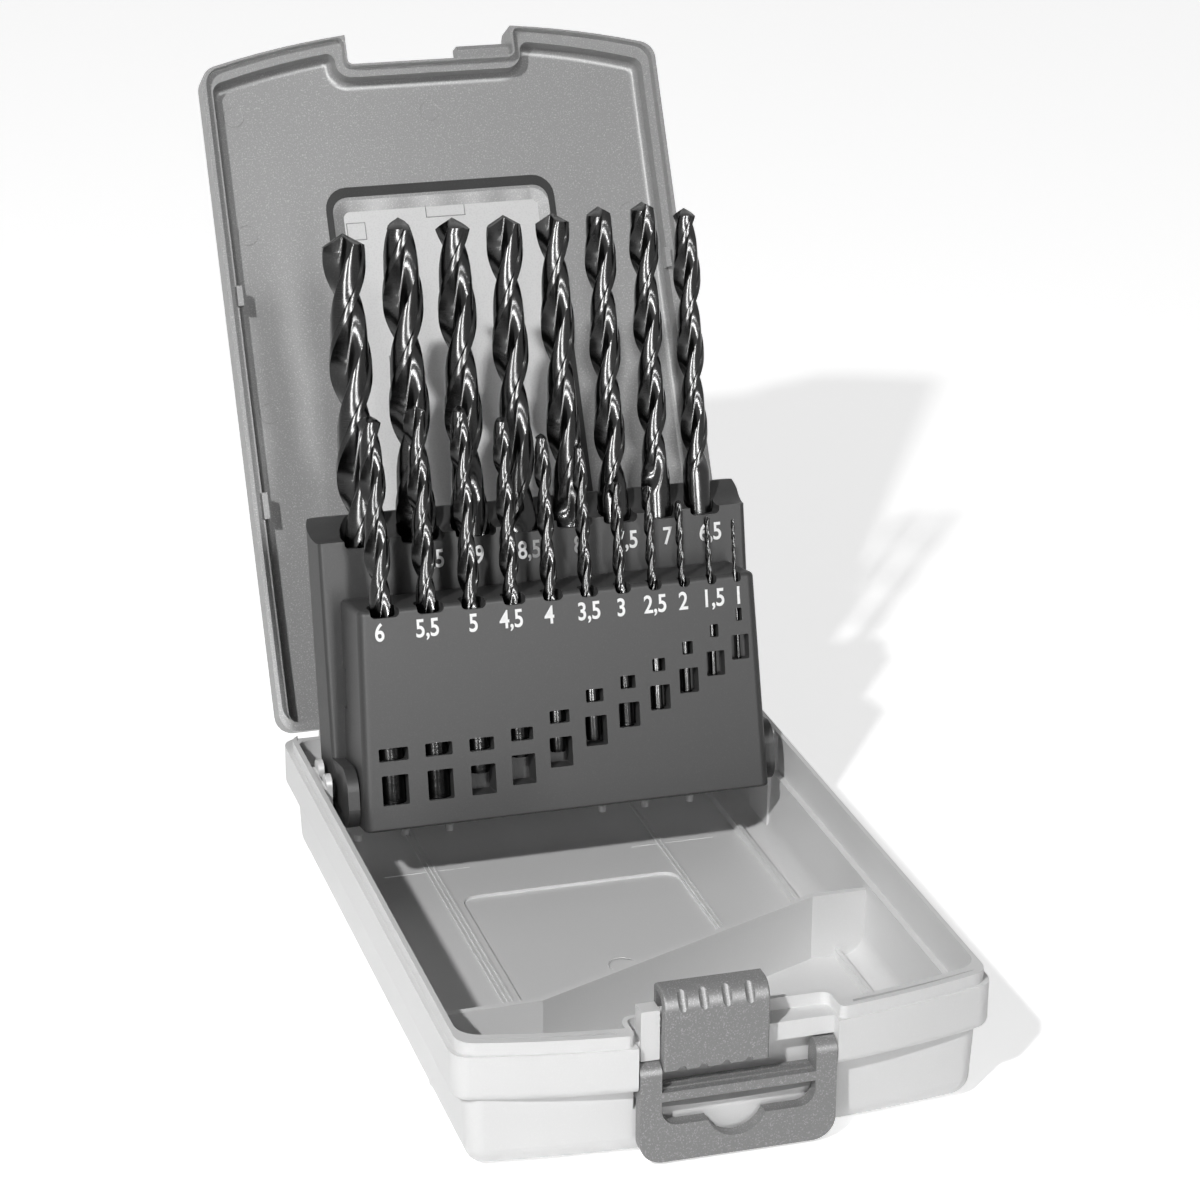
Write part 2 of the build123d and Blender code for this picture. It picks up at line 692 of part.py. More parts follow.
# ================================================================ latch
with BuildPart() as slide_latch:
    latch_back = notch_y - 2 * latch_play
    inner_y = latch_front_y + latch_plate
    foot_y = latch_front_y + latch_foot
    roof_z = latch_top_z - latch_roof
    curl_y = latch_front_y + latch_curl
    curl_z = latch_top_z - latch_curl
    sole_z = latch_bottom_z + latch_sole
    tooth_y = shelf_y + lip_thickness + latch_play
    with BuildSketch(Plane.YZ.offset(latch_left)):
        with BuildLine():
            Polyline(
                (latch_front_y, curl_z),
                (latch_front_y, latch_bottom_z),
                (tooth_y + latch_tooth, latch_bottom_z),
                (tooth_y + latch_tooth, ledge_z - shelf_thickness - latch_play),
                (tooth_y, ledge_z - shelf_thickness - latch_play),
                (tooth_y, sole_z),
                (foot_y, sole_z),
                (foot_y, ledge_z + latch_play),
                (foot_y + latch_rib_reach, ledge_z + latch_play),
                (foot_y + latch_rib_reach, ledge_z + latch_play + latch_rib),
                (inner_y, ledge_z + latch_play + latch_rib),
                (inner_y, curl_z),
            )
            RadiusArc((inner_y, curl_z), (curl_y, roof_z), latch_curl - latch_plate)
            Polyline(
                (curl_y, roof_z),
                (latch_back - latch_tooth, roof_z),
                (latch_back - latch_tooth, hook_neck_z + latch_play),
                (latch_back, hook_neck_z + latch_play),
                (latch_back, latch_top_z - latch_chamfer),
                (latch_back - latch_chamfer, latch_top_z),
                (curl_y, latch_top_z),
            )
            RadiusArc((curl_y, latch_top_z), (latch_front_y, curl_z), -latch_curl)
        make_face()
    extrude(amount=latch_width)
    for place in (0, -1):
        outline = slide_latch.faces().sort_by(Axis.X)[place].edges()
        fillet(outline.sort_by(Axis.Y)[0], latch_edge)
    # finger grips down the curl, and a notch under each in the bottom edge
    slope = radians(grip_slope)
    grip_reach = latch_curl + grip_radius - grip_depth
    for grip_x in grip_places:
        grip_middle = (grip_x, curl_y - grip_reach * sin(slope), curl_z + grip_reach * cos(slope))
        with BuildSketch(Plane(grip_middle, x_dir=(1, 0, 0), z_dir=(0, cos(slope), sin(slope)))):
            Circle(grip_radius)
        extrude(amount=2 * latch_curl, both=True, mode=Mode.SUBTRACT)
    with BuildSketch(Plane.XZ.offset(-foot_y)):
        with Locations(*[(grip_x, latch_bottom_z) for grip_x in grip_places]):
            Circle(scallop_radius)
    extrude(amount=latch_foot + overrun, mode=Mode.SUBTRACT)
hand_in(slide_latch.part, "slide_latch")

# ================================================================ hanger
with BuildPart() as hanger:
    hanger_back = Plane.XZ.offset(-latch_front_y - hanger_thickness)
    slot_half_width = hanger_width / 2 - arm_width
    with BuildSketch(hanger_back) as loop:
        with Locations((0, hanger_bottom_z)):
            Rectangle(hanger_width, bar_top_z - hanger_bottom_z, align=(Align.CENTER, Align.MIN))
        fillet(loop.vertices().group_by(Axis.Y)[0], hanger_corner)
    extrude(amount=hanger_thickness)
    with BuildSketch(hanger_back) as slot:
        with Locations((0, slot_bottom_z)):
            Rectangle(2 * slot_half_width, bar_bottom_z - slot_bottom_z, align=(Align.CENTER, Align.MIN))
        fillet(slot.vertices().group_by(Axis.Y)[0], slot_corner)
        with Locations((dip_x, dip_bottom_z + dip_radius)):
            Circle(dip_radius)
        with Locations((0, bar_bottom_z)):
            Rectangle(hanger_width, dip_radius, align=(Align.CENTER, Align.MIN), mode=Mode.SUBTRACT)
    extrude(amount=hanger_thickness, mode=Mode.SUBTRACT)
    # cross bar, with two fine ridges along its top
    with BuildSketch(Plane.YZ):
        with Locations((latch_front_y, bar_bottom_z)):
            Rectangle(bar_depth, bar_top_z - bar_bottom_z, align=(Align.MIN, Align.MIN))
        with Locations(
            (latch_front_y + bar_depth / 3, bar_top_z), (latch_front_y + 2 * bar_depth / 3, bar_top_z)
        ):
            Rectangle(bar_ridge, 2 * bar_ridge)
    extrude(amount=slot_half_width, both=True)
    # arms, round about the pivot, and the pins that turn in the tray
    for side in (-1, 1):
        arm_inner = Plane.YZ.offset(side * slot_half_width)
        with BuildSketch(arm_inner):
            with Locations((hanger_pivot_y, hanger_pivot_z)):
                Circle(arm_depth / 2)
            with Locations((latch_front_y, bar_bottom_z)):
                Rectangle(
                    arm_depth, hanger_pivot_z - bar_bottom_z, align=(Align.MIN, Align.MIN)
                )
        extrude(amount=side * arm_width)
        with BuildSketch(arm_inner):
            with Locations((hanger_pivot_y, hanger_pivot_z)):
                Circle(hanger_pin_radius)
        extrude(amount=side * (arm_width + hanger_pin_length))
hand_in(hanger.part, "hanger")


# ================================================================ holder
def sockets(drills, places, rows, clearance, top):
    """The sockets of one row, each down to where its bit stands."""
    with BuildPart() as bores:
        for drill, x, row in zip(drills, places, rows):
            floor = drill.tip - drill.length - seat_gap
            with BuildSketch(holder_plane.offset(floor)):
                with Locations((x, -row)):
                    Circle(drill.size / 2 + clearance)
            extrude(amount=top - floor)
    return bores.part


def mouths(drills, places, rows, face, top):
    """The U notches in front of the sockets of one row."""
    front = Plane(
        holder_plane.from_local_coords((0, -face, 0)), x_dir=(1, 0, 0), z_dir=-holder_plane.y_dir
    )
    with BuildPart() as notches:
        for drill, x, row in zip(drills, places, rows):
            width = drill.size + mouth_margin
            with BuildSketch(front):
                with Locations((x, top)):
                    RectangleRounded(width, 2 * mouth_depth, min(mouth_round, 0.45 * width))
            extrude(amount=row - face)
    return notches.part


with BuildPart() as holder_front_block:
    with BuildSketch(holder_front):
        with BuildLine():
            Polyline(
                (-front_width / 2, block_bottom),
                (front_width / 2, block_bottom),
                (front_top_width / 2, front_top),
                (-front_top_width / 2, front_top),
                close=True,
            )
        make_face()
    extrude(amount=seam + seam_gap - front_face)
    outline = holder_front_block.faces().sort_by(holder_out)[-1].edges().sort_by(Axis.X)
    fillet([outline[0], outline[-1]], block_round)
    fillet(holder_front_block.edges().group_by(holder_up)[-1], edge_round)
    fillet(holder_front_block.edges().group_by(holder_up)[0], edge_round / 2)
    for side in (-1, 1):
        with BuildSketch(holder_side.offset(side * front_width / 2)):
            with Locations((-seam, side_slot_bottom)):
                Rectangle(side_slot_width, side_slot_top - side_slot_bottom, align=(Align.MAX, Align.MIN))
        extrude(amount=-side * side_slot_depth, mode=Mode.SUBTRACT)
    add(sockets(front_drills, front_places, front_rows, front_bore_clearance, front_top), mode=Mode.SUBTRACT)
    add(mouths(front_drills, front_places, front_rows, front_face, front_top), mode=Mode.SUBTRACT)
    # windows: a tall one at each bit's foot and a low one above it
    for drill, x in zip(front_drills, front_places):
        lower = small_window_height if drill.size <= small_window_size else lower_window_height
        upper_bottom = drill.window + lower + window_bridge
        with BuildSketch(holder_front):
            with Locations((x, drill.window + lower / 2)):
                RectangleRounded(lower_window_width(drill.size), lower, window_corner)
            with Locations((x, upper_bottom + upper_window_height / 2)):
                RectangleRounded(upper_window_width(drill.size), upper_window_height, window_corner)
        depth = front_wall + drill.size + 2 * front_bore_clearance + window_back_margin
        extrude(amount=-depth, mode=Mode.SUBTRACT)
hand_in(holder_front_block.part, "holder_front_block")

with BuildPart() as holder_rear_block:
    with BuildSketch(holder_plane.offset(block_bottom)) as footprint:
        with BuildLine():
            Polyline(
                (-rear_width / 2, -seam),
                (rear_width / 2, -seam),
                (rear_back_width / 2, rear_face),
                (-rear_back_width / 2, rear_face),
                close=True,
            )
        make_face()
        fillet(footprint.vertices().group_by(Axis.Y)[-1], rear_round)
        fillet(footprint.vertices().group_by(Axis.Y)[0], edge_round)
    extrude(amount=rear_top + scoop_rise - block_bottom)
    # the top sweeps up to its rear edge
    scoop_lip = rear_face - scoop_wall
    open_top = rear_top + scoop_rise
    with BuildSketch(holder_side):
        with BuildLine():
            ThreePointArc(
                (scoop_start, rear_top),
                ((scoop_start + 2 * scoop_lip) / 3, rear_top + scoop_rise / 4),
                (scoop_lip, open_top),
            )
            Polyline(
                (scoop_lip, open_top),
                (scoop_lip, open_top + overrun),
                (scoop_start, open_top + overrun),
                (scoop_start, rear_top),
            )
        make_face()
    extrude(amount=rear_back_width, both=True, mode=Mode.SUBTRACT)
    # cheeks that clasp the front block, and the trunnions
    for side in (-1, 1):
        cheek_inner = front_width / 2 + cheek_gap
        with BuildSketch(holder_side.offset(side * cheek_inner)) as cheek:
            with Locations((seam, cheek_bottom)):
                Rectangle(cheek_reach + seam, cheek_top - cheek_bottom, align=(Align.MAX, Align.MIN))
            fillet(cheek.vertices().group_by(Axis.X)[0], cheek_round)
        extrude(amount=side * (rear_width / 2 - cheek_inner))
        with BuildSketch(holder_side.offset(side * cheek_inner)):
            Circle(trunnion_radius)
        extrude(amount=side * (trunnion_end - cheek_inner))
    add(sockets(rear_drills, rear_places, rear_rows, rear_bore_clearance, open_top), mode=Mode.SUBTRACT)
    add(mouths(rear_drills, rear_places, rear_rows, seam, rear_top), mode=Mode.SUBTRACT)
hand_in(holder_rear_block.part, "holder_rear_block")


# ================================================================ drills
def twist_drill(drill, x, row):
    """One bit standing in its socket: plain shank, two helical flutes and a chisel point."""
    radius = drill.size / 2
    base = Plane(
        holder_plane.from_local_coords((x, -row, drill.tip - drill.length)),
        x_dir=(1, 0, 0),
        z_dir=holder_plane.z_dir,
    )
    point = radius / tan(radians(point_angle / 2))
    lead = pi * drill.size / tan(radians(helix_angle))
    fluted = drill.flutes - point
    steps = round(fluted / lead * 360 / twist_step)
    land = [
        (radius * cos(radians(angle)), radius * sin(radians(angle)))
        for angle in (-land_half_angle, 0, land_half_angle)
    ]
    web = web_share * radius
    outline = land + [(0, web)] + [(-x, -y) for x, y in land] + [(0, -web)]
    with BuildPart() as bit:
        with BuildSketch(base):
            Circle(radius)
        extrude(amount=drill.length - drill.flutes)
        for step in range(steps + 1):
            climb = fluted * step / steps
            turn = 360 * climb / lead
            with BuildSketch(base.offset(drill.length - drill.flutes + climb).rotated((0, 0, turn))):
                Polygon(*outline, align=None)
        turn = 360 * drill.flutes / lead
        with BuildSketch(base.offset(drill.length).rotated((0, 0, turn))):
            Polygon(*[(chisel_share * px, chisel_share * py) for px, py in outline], align=None)
        loft(ruled=True)
    return bit.part


for drills, places, rows in (
    (front_drills, front_places, front_rows),
    (rear_drills, rear_places, rear_rows),
):
    for drill, place, row in zip(drills, places, rows):
        size_name = f"{drill.size:g}".replace(".", "_")
        hand_in(twist_drill(drill, place, row), f"drill_bit_{size_name}mm")
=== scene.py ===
"""Looks of the hinged drill bit case: moulded plastics, ground bits, printed sizes and moulded marks.

Metres, +Z up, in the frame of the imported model. The holder leans back about its pivot, and the lid
about its hinge, so what sits on them is given in millimetres in their own directions.
"""
from math import atan2, cos, degrees, pi, radians, sin, tan

import bpy
from mathutils import Matrix, Quaternion, Vector


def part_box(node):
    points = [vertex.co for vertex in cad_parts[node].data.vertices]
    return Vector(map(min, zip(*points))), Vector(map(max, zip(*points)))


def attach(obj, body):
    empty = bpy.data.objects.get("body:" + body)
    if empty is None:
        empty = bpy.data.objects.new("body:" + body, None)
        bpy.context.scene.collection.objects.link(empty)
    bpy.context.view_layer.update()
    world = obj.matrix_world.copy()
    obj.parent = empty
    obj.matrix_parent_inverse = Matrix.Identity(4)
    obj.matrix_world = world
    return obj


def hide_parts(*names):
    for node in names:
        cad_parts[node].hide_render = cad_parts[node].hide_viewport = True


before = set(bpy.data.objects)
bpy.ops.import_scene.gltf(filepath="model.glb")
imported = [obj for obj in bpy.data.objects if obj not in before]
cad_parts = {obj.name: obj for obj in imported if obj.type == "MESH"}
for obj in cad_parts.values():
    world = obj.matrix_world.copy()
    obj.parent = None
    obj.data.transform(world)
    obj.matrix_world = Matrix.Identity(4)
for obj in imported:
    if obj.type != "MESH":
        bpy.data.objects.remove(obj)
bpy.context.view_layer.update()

MM = 0.001
LEAN = radians(11.63)                          # of the holder, back from upright
HOLDER_PIVOT = Vector((0, 54.5, 25.8)) * MM
OPEN = radians(118)                            # of the lid, from shut
HINGE_HEIGHT = 28.3
HINGE = Vector((0, 84, HINGE_HEIGHT)) * MM
LID_INNER_FACE = 36.4                          # above the base, as if the lid were shut
LABEL_INNER_FACE = 37.2
TRAY_FLOOR = 3.3
NEAR = 0.0001                                  # places this close are the same ring of a bit

# size, length, flutes, lead of the helix in millimetres, and how far the point is turned in degrees
BITS = (
    (6.0, 93, 57, 33.4, 139),
    (5.5, 93, 57, 30.1, 25),
    (5.0, 86, 52, 28.2, 106),
    (4.5, 80, 47, 24.6, 103),
    (4.0, 75, 43, 22.9, 113),
    (3.5, 70, 39, 21.0, 113),
    (3.0, 61, 33, 18.5, 167),
    (2.5, 57, 30, 14.0, 40),
    (2.0, 49, 24, 11.2, 80),
    (1.5, 40, 18, 8.4, 20),
    (1.0, 34, 12, 5.6, 60),
    (10.0, 133, 87, 51.2, 10),
    (9.5, 125, 81, 50.2, 110),
    (9.0, 125, 81, 48.2, 137),
    (8.5, 117, 75, 48.6, 20),
    (8.0, 117, 75, 48.2, 167),
    (7.5, 109, 69, 41.3, 78),
    (7.0, 109, 69, 37.8, 70),
    (6.5, 101, 63, 36.4, 123),
)


# ---------------------------------------------------------------- places
def on_holder(x, forward, up):
    """A point of the holder: millimetres across, forward of the pivot and up from it."""
    y = -cos(LEAN) * forward + sin(LEAN) * up
    z = sin(LEAN) * forward + cos(LEAN) * up
    return HOLDER_PIVOT + Vector((x, y, z)) * MM


def on_lid(x, along, height):
    """A point of the open lid: millimetres across, out from the hinge and above the base as if shut."""
    y, z = -along, height - HINGE_HEIGHT
    return HINGE + Vector((x, cos(OPEN) * y + sin(OPEN) * z, -sin(OPEN) * y + cos(OPEN) * z)) * MM


# ---------------------------------------------------------------- modelling
def only(piece):
    """Selects this piece alone, and makes it active."""
    bpy.ops.object.select_all(action="DESELECT")
    piece.select_set(True)
    bpy.context.view_layer.objects.active = piece


def pick(piece, wanted):
    """In edit mode, selects the vertices that wanted(place) is true for."""
    bpy.ops.object.mode_set(mode="OBJECT")
    for edge in piece.data.edges:
        edge.select = False
    for face in piece.data.polygons:
        face.select = False
    for vertex in piece.data.vertices:
        vertex.select = wanted(vertex.co)
    bpy.ops.object.mode_set(mode="EDIT")
    bpy.context.tool_settings.mesh_select_mode = (True, False, False)
    bpy.ops.mesh.select_mode(type="VERT")


def raise_up(height):
    """Extrudes what is selected along Z."""
    bpy.ops.mesh.extrude_region_move(TRANSFORM_OT_translate={"value": (0, 0, height)})


def lift(height):
    bpy.ops.transform.translate(value=(0, 0, height))


def stretch(across, up, foot):
    """Scales what is selected across and along Z, about the axis at the height foot."""
    bpy.ops.transform.resize(value=(across, across, up), center_override=(0, 0, foot))


def close_up():
    """Turns every face of the edited piece outwards, and leaves edit mode."""
    bpy.ops.mesh.select_all(action="SELECT")
    bpy.ops.mesh.normals_make_consistent(inside=False)
    bpy.ops.object.mode_set(mode="OBJECT")


def settle(piece):
    """Puts the piece's place, turn and size into its mesh."""
    only(piece)
    bpy.ops.object.transform_apply(location=True, rotation=True, scale=True)


def smooth(piece, angle=35):
    only(piece)
    bpy.ops.object.shade_smooth_by_angle(angle=radians(angle))


def finish_with(piece, material):
    piece.data.materials.clear()
    piece.data.materials.append(material)


# ---------------------------------------------------------------- shading
def grey(level):
    return (level, level, level, 1)


def new_material(name):
    made = bpy.data.materials.new(name)
    made.use_nodes = True
    return made, made.node_tree, made.node_tree.nodes["Principled BSDF"]


def add_node(tree, kind, values=(), **settings):
    """A node with these settings, and with values for its sockets by name or number."""
    node = tree.nodes.new(kind)
    for key, value in settings.items():
        setattr(node, key, value)
    for socket, value in values:
        node.inputs[socket].default_value = value
    return node


def new_group(name, inputs, outputs):
    """A node group with a Place, these inputs with their values, and these outputs."""
    tree = bpy.data.node_groups.new(name, "ShaderNodeTree")
    for label, kind, value in (("Place", "NodeSocketVector", None), *inputs):
        socket = tree.interface.new_socket(name=label, in_out="INPUT", socket_type=kind)
        if value is not None:
            socket.default_value = value
    for label, kind in outputs:
        tree.interface.new_socket(name=label, in_out="OUTPUT", socket_type=kind)
    return tree, tree.nodes.new("NodeGroupInput"), tree.nodes.new("NodeGroupOutput")


def place_group(tree, group, **values):
    """The group in a material, on the piece's own coordinates."""
    node = add_node(tree, "ShaderNodeGroup", values.items(), node_tree=group)
    coordinates = add_node(tree, "ShaderNodeTexCoord")
    tree.links.new(coordinates.outputs["Object"], node.inputs["Place"])
    return node


def moulded_grain():
    """Fine spark grain of a moulded face: a normal and a slight change of gloss."""
    tree, start, end = new_group(
        "moulded grain",
        (
            ("Scale", "NodeSocketFloat", 2500.0),
            ("Depth", "NodeSocketFloat", 0.1),
            ("Gloss", "NodeSocketFloat", 0.4),
        ),
        (("Normal", "NodeSocketVector"), ("Roughness", "NodeSocketFloat")),
    )
    link = tree.links.new
    noise = add_node(tree, "ShaderNodeTexNoise", (("Detail", 3),))
    link(start.outputs["Place"], noise.inputs["Vector"])
    link(start.outputs["Scale"], noise.inputs["Scale"])
    bump = add_node(tree, "ShaderNodeBump", (("Distance", 0.05 * MM),))
    link(start.outputs["Depth"], bump.inputs["Strength"])
    link(noise.outputs["Fac"], bump.inputs["Height"])
    link(bump.outputs["Normal"], end.inputs["Normal"])
    spread = add_node(tree, "ShaderNodeMath", ((1, 0.12),), operation="MULTIPLY_ADD")
    link(noise.outputs["Fac"], spread.inputs[0])
    link(start.outputs["Gloss"], spread.inputs[2])
    link(spread.outputs[0], end.inputs["Roughness"])
    return tree


def flecked_colour():
    """Base colour with fine lighter flecks and faint cloudy flow marks."""
    tree, start, end = new_group(
        "flecked colour",
        (
            ("Base", "NodeSocketColor", grey(0.3)),
            ("Fleck", "NodeSocketColor", grey(0.6)),
            ("Amount", "NodeSocketFloat", 0.3),
            ("Cloud", "NodeSocketFloat", 0.06),
        ),
        (("Color", "NodeSocketColor"),),
    )
    link = tree.links.new
    fine = add_node(tree, "ShaderNodeTexNoise", (("Scale", 3200), ("Detail", 1)))
    link(start.outputs["Place"], fine.inputs["Vector"])
    ramp = add_node(tree, "ShaderNodeMapRange", (("From Min", 0.56), ("From Max", 0.72)))
    link(fine.outputs["Fac"], ramp.inputs["Value"])
    amount = add_node(tree, "ShaderNodeMath", operation="MULTIPLY")
    link(ramp.outputs["Result"], amount.inputs[0])
    link(start.outputs["Amount"], amount.inputs[1])
    mixed = add_node(tree, "ShaderNodeMix", data_type="RGBA")
    link(amount.outputs[0], mixed.inputs["Factor"])
    link(start.outputs["Base"], mixed.inputs["A"])
    link(start.outputs["Fleck"], mixed.inputs["B"])
    cloud = add_node(tree, "ShaderNodeTexNoise", (("Scale", 35), ("Detail", 2)))
    link(start.outputs["Place"], cloud.inputs["Vector"])
    centred = add_node(tree, "ShaderNodeMath", ((1, 0.5),), operation="SUBTRACT")
    link(cloud.outputs["Fac"], centred.inputs[0])
    share = add_node(tree, "ShaderNodeMath", ((2, 1.0),), operation="MULTIPLY_ADD")
    link(centred.outputs[0], share.inputs[0])
    link(start.outputs["Cloud"], share.inputs[1])
    shade = add_node(
        tree, "ShaderNodeMix", (("Factor", 1.0),), data_type="RGBA", blend_type="MULTIPLY"
    )
    link(mixed.outputs["Result"], shade.inputs["A"])
    link(share.outputs[0], shade.inputs["B"])
    link(shade.outputs["Result"], end.inputs["Color"])
    return tree


def grinding_lines():
    """Fine lines ground round a bit: a normal that is uneven along the holder's upright only."""
    tree, start, end = new_group(
        "grinding lines",
        (("Scale", "NodeSocketFloat", 6000.0), ("Depth", "NodeSocketFloat", 0.5)),
        (("Normal", "NodeSocketVector"), ("Roughness", "NodeSocketFloat")),
    )
    link = tree.links.new
    upright = (0, sin(LEAN), cos(LEAN))
    along = add_node(tree, "ShaderNodeVectorMath", ((1, upright),), operation="DOT_PRODUCT")
    link(start.outputs["Place"], along.inputs[0])
    lines = add_node(tree, "ShaderNodeTexNoise", (("Detail", 2),), noise_dimensions="1D")
    link(along.outputs["Value"], lines.inputs["W"])
    link(start.outputs["Scale"], lines.inputs["Scale"])
    bump = add_node(tree, "ShaderNodeBump", (("Distance", 0.04 * MM),))
    link(start.outputs["Depth"], bump.inputs["Strength"])
    link(lines.outputs["Fac"], bump.inputs["Height"])
    link(bump.outputs["Normal"], end.inputs["Normal"])
    patches = add_node(tree, "ShaderNodeTexNoise", (("Scale", 260),))
    link(start.outputs["Place"], patches.inputs["Vector"])
    spread = add_node(tree, "ShaderNodeMapRange", (("To Min", 0.12), ("To Max", 0.28)))
    link(patches.outputs["Fac"], spread.inputs["Value"])
    link(spread.outputs["Result"], end.inputs["Roughness"])
    return tree


grain_group = moulded_grain()
fleck_group = flecked_colour()
grinding_group = grinding_lines()


def moulded_plastic(name, base, fleck, amount, gloss, depth, sheen=0.5):
    """A grey plastic: its colour, its flecks and how many, and how dull and how grained it is."""
    made, tree, shader = new_material(name)
    shader.inputs["Specular IOR Level"].default_value = sheen
    colour = place_group(
        tree, fleck_group, Base=grey(base), Fleck=grey(fleck), Amount=amount, Cloud=0.06
    )
    tree.links.new(colour.outputs["Color"], shader.inputs["Base Color"])
    grain = place_group(tree, grain_group, Scale=2500.0, Depth=depth, Gloss=gloss)
    tree.links.new(grain.outputs["Normal"], shader.inputs["Normal"])
    tree.links.new(grain.outputs["Roughness"], shader.inputs["Roughness"])
    return made


def ground_steel(name):
    """Dark, steam-tempered steel with fine grinding lines."""
    made, tree, shader = new_material(name)
    shader.inputs["Metallic"].default_value = 1.0
    colour = place_group(
        tree, fleck_group, Base=grey(0.035), Fleck=grey(0.08), Amount=0.3, Cloud=0.6
    )
    tree.links.new(colour.outputs["Color"], shader.inputs["Base Color"])
    lines = place_group(tree, grinding_group)
    tree.links.new(lines.outputs["Normal"], shader.inputs["Normal"])
    tree.links.new(lines.outputs["Roughness"], shader.inputs["Roughness"])
    return made


pale_tray_plastic = moulded_plastic("pale tray plastic", 0.68, 0.74, 0.3, 0.34, 0.12)
grey_lid_plastic = moulded_plastic("flecked grey lid plastic", 0.25, 0.5, 0.55, 0.32, 0.25)
grey_latch_plastic = moulded_plastic("flecked grey latch plastic", 0.17, 0.5, 0.4, 0.36, 0.3)
# painted shade: a near-black plastic that stands in for the shade on the label window's recessed,
# bevelled edge
painted_shade_border_plastic = moulded_plastic(
    "painted shade border plastic", 0.03, 0.08, 0.2, 0.5, 0.2, sheen=0.15
)
label_plastic = moulded_plastic("label plate plastic", 0.68, 0.74, 0.1, 0.22, 0.05)
black_holder_plastic = moulded_plastic(
    "satin black holder plastic", 0.045, 0.08, 0.2, 0.4, 0.3, sheen=0.2
)
white_print = moulded_plastic("white print", 0.85, 0.9, 0.2, 0.5, 0.05)
dark_steel = ground_steel("dark ground steel")

for node_name, material in (
    ("base_tray", pale_tray_plastic),
    ("lid", grey_lid_plastic),
    ("lid_label_plate", label_plastic),
    ("slide_latch", grey_latch_plastic),
    ("hanger", grey_latch_plastic),
    ("holder_front_block", black_holder_plastic),
    ("holder_rear_block", black_holder_plastic),
    ("hinge_pin_left", dark_steel),
    ("hinge_pin_right", dark_steel),
):
    finish_with(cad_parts[node_name], material)

# ---------------------------------------------------------------- bits
# The straight bit is one unit in radius, with its lengths one unit each: the shank stands from 0 to 1,
# the run-out of the flutes from 1 to 2, the flutes from 2 to 3, and the point above them.
RUN_OUT_RINGS = 5
RUN_OUT_CURVE = 0.8
RUN_OUT_LENGTH = 0.9                           # of a bit's size
FLUTE_RINGS = 72
FOOT_BEVEL = 0.03
POINT_RISE = 1 / tan(radians(59))              # of the cone, for one unit of radius
TRIM = 0.0002                                  # keeps a placed vertex from being picked again
# half the section, as angle and radius: clearance, step, margin, face, flute, heel, clearance
SECTION = (
    (0, 0.875), (4, 0.985), (9, 1), (16, 1), (23, 1),
    (30, 0.70), (38, 0.50), (47, 0.37), (57, 0.29), (67, 0.25),
    (77, 0.25), (87, 0.29), (97, 0.38), (106, 0.52), (114, 0.68),
    (121, 0.80), (128, 0.84), (141, 0.86), (154, 0.87), (167, 0.875),
)


def at_angle(co, angle):
    """True for the two vertices of a ring that stand at this angle of the section."""
    return abs((degrees(atan2(co.y, co.x)) - angle + 90) % 180 - 90) < 0.5


def section_ring():
    """The section of the bit as one ring of edges, at the foot of its flutes."""
    bpy.ops.mesh.primitive_circle_add(vertices=2 * len(SECTION), radius=1, location=(0, 0, 2))
    bit = bpy.context.active_object
    settle(bit)
    step = 180 / len(SECTION)
    for place, (angle, out) in enumerate(SECTION):
        pick(bit, lambda co: at_angle(co, place * step) and co.xy.length > 1 - NEAR)
        turn = radians(place * step - angle)
        bpy.ops.transform.rotate(value=turn, orient_axis="Z", center_override=(0, 0, 2))
        stretch(out - TRIM, 1, 2)
    return bit


def add_point(bit):
    """Raises the top ring to the point's cone, and closes it on the axis."""
    for angle, out in SECTION:
        pick(bit, lambda co: co.z > 3 - NEAR and at_angle(co, angle))
        lift((1 - out) * POINT_RISE)
    middle = sum(out for _, out in SECTION) / len(SECTION)
    pick(bit, lambda co: co.z > 3 - NEAR)
    bpy.ops.mesh.extrude_region_move()
    bpy.ops.mesh.merge(type="CENTER")
    lift(middle * POINT_RISE)


def run_out(bit):
    """Fills the flutes ring by ring, down to the round shank."""
    height = 2
    for ring in range(1, RUN_OUT_RINGS + 1):
        pick(bit, lambda co: abs(co.z - height) < NEAR)
        raise_up(-1 / RUN_OUT_RINGS)
        height = 2 - ring / RUN_OUT_RINGS
        for angle, out in SECTION:
            before, after = (
                1 - (1 - out) * (1 - (ring - back) / RUN_OUT_RINGS) ** RUN_OUT_CURVE
                for back in (1, 0)
            )
            pick(bit, lambda co: abs(co.z - height) < NEAR and at_angle(co, angle))
            stretch(after / before, 1, height)


def master_bit():
    """The straight bit that every size is stretched and twisted from."""
    bit = section_ring()
    pick(bit, lambda co: True)
    for _ in range(FLUTE_RINGS):
        raise_up(1 / FLUTE_RINGS)
    add_point(bit)
    run_out(bit)
    # the plain shank, with a small bevel round its end
    pick(bit, lambda co: abs(co.z - 1) < NEAR)
    raise_up(FOOT_BEVEL - 1)
    raise_up(-FOOT_BEVEL)
    stretch(0.9, 1, 0)
    bpy.ops.mesh.edge_face_add()
    close_up()
    return bit


